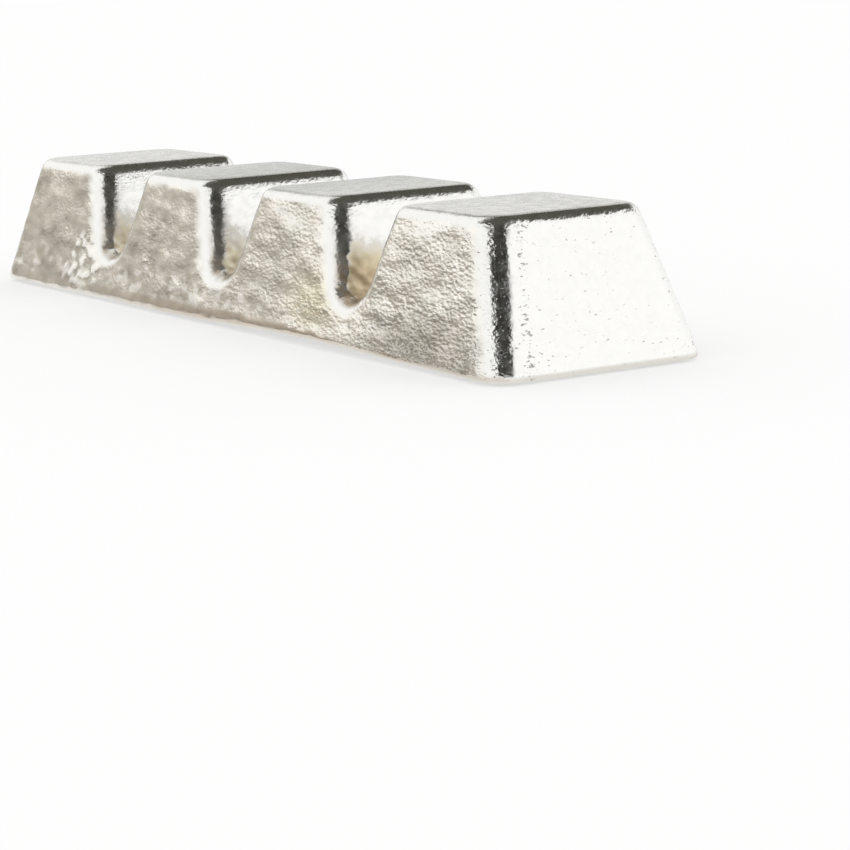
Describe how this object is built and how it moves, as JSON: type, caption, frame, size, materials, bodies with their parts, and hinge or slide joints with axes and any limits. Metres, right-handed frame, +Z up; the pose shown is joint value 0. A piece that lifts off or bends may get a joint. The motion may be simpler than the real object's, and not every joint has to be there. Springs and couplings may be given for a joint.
{
  "type": "tin ingot",
  "caption": "Long tapered cast metal bar with rounded corners, a flat broad base and deep round-rooted cross notches that divide its narrow face into lobes for gripping, stacking and breaking.",
  "frame": {"origin": "middle of the flat base, on the surface that the ingot lies on", "axes": "+X along the ingot's length, +Y across it, +Z up from the broad base to the notched narrow face"},
  "size_m": [0.5374, 0.1226, 0.074],
  "materials": {
    "cast_tin": "bright as-cast tin, satin and slightly grained, with thin straw-coloured oxide tints"
  },
  "bodies": {
    "root": {"tin_ingot": "cast_tin"}
  },
  "joints": []
}
